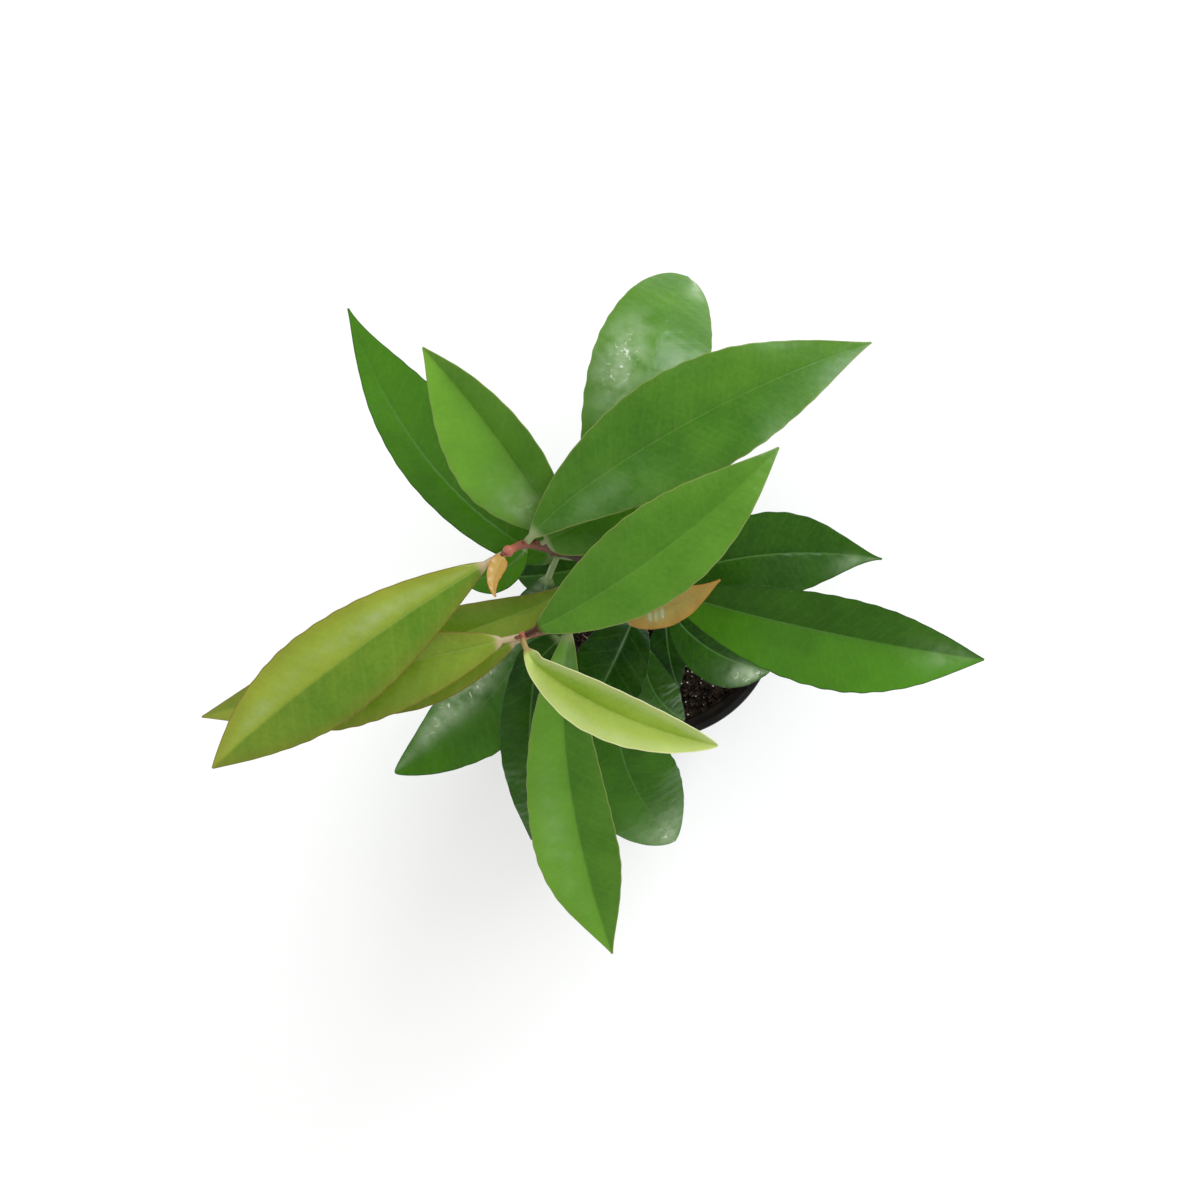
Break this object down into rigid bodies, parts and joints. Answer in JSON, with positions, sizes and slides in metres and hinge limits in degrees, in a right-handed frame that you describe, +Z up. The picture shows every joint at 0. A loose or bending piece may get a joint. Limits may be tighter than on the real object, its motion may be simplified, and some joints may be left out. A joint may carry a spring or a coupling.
{
  "type": "potted ardisia",
  "caption": "Young ardisia with long pointed glossy leaves on leaning shoots, growing in peat in a plain round black nursery pot with a rolled rim.",
  "frame": {"origin": "centre of the flat underside of the pot, on the surface it stands on", "axes": "+Z up along the pot's axis; +Y is the top of the picture of the plant seen from above, and +X its right"},
  "size_m": [0.3035, 0.2677, 0.2804],
  "materials": {
    "pot": "satin",
    "soil": "matte",
    "bark": "matte",
    "green_bark": "matte",
    "leaf_lime": "satin",
    "leaf_green": "satin",
    "leaf_deep": "satin",
    "leaf_young": "satin",
    "leaf_bronze": "satin"
  },
  "bodies": {
    "root": {"pot": "pot", "soil": "soil", "stem_a": "bark", "stem_b": "bark", "stem_c": "green_bark", "leaf_a1": "leaf_lime", "leaf_a10": "leaf_deep", "leaf_a2": "leaf_bronze", "leaf_a3": "leaf_green", "leaf_a4": "leaf_green", "leaf_a5": "leaf_deep", "leaf_a6": "leaf_deep", "leaf_a7": "leaf_deep", "leaf_a8": "leaf_green", "leaf_a9": "leaf_lime", "leaf_b1": "leaf_green", "leaf_b2": "leaf_young", "leaf_b3": "leaf_lime", "leaf_b4": "leaf_lime", "leaf_b5": "leaf_green", "leaf_b6": "leaf_deep", "leaf_b7": "leaf_deep", "leaf_b8": "leaf_deep", "leaf_b9": "leaf_deep", "leaf_c1": "leaf_bronze", "leaf_c2": "leaf_deep", "leaf_c3": "leaf_deep", "leaf_c4": "leaf_green", "leaf_c5": "leaf_deep", "leaf_c6": "leaf_deep"}
  },
  "joints": []
}
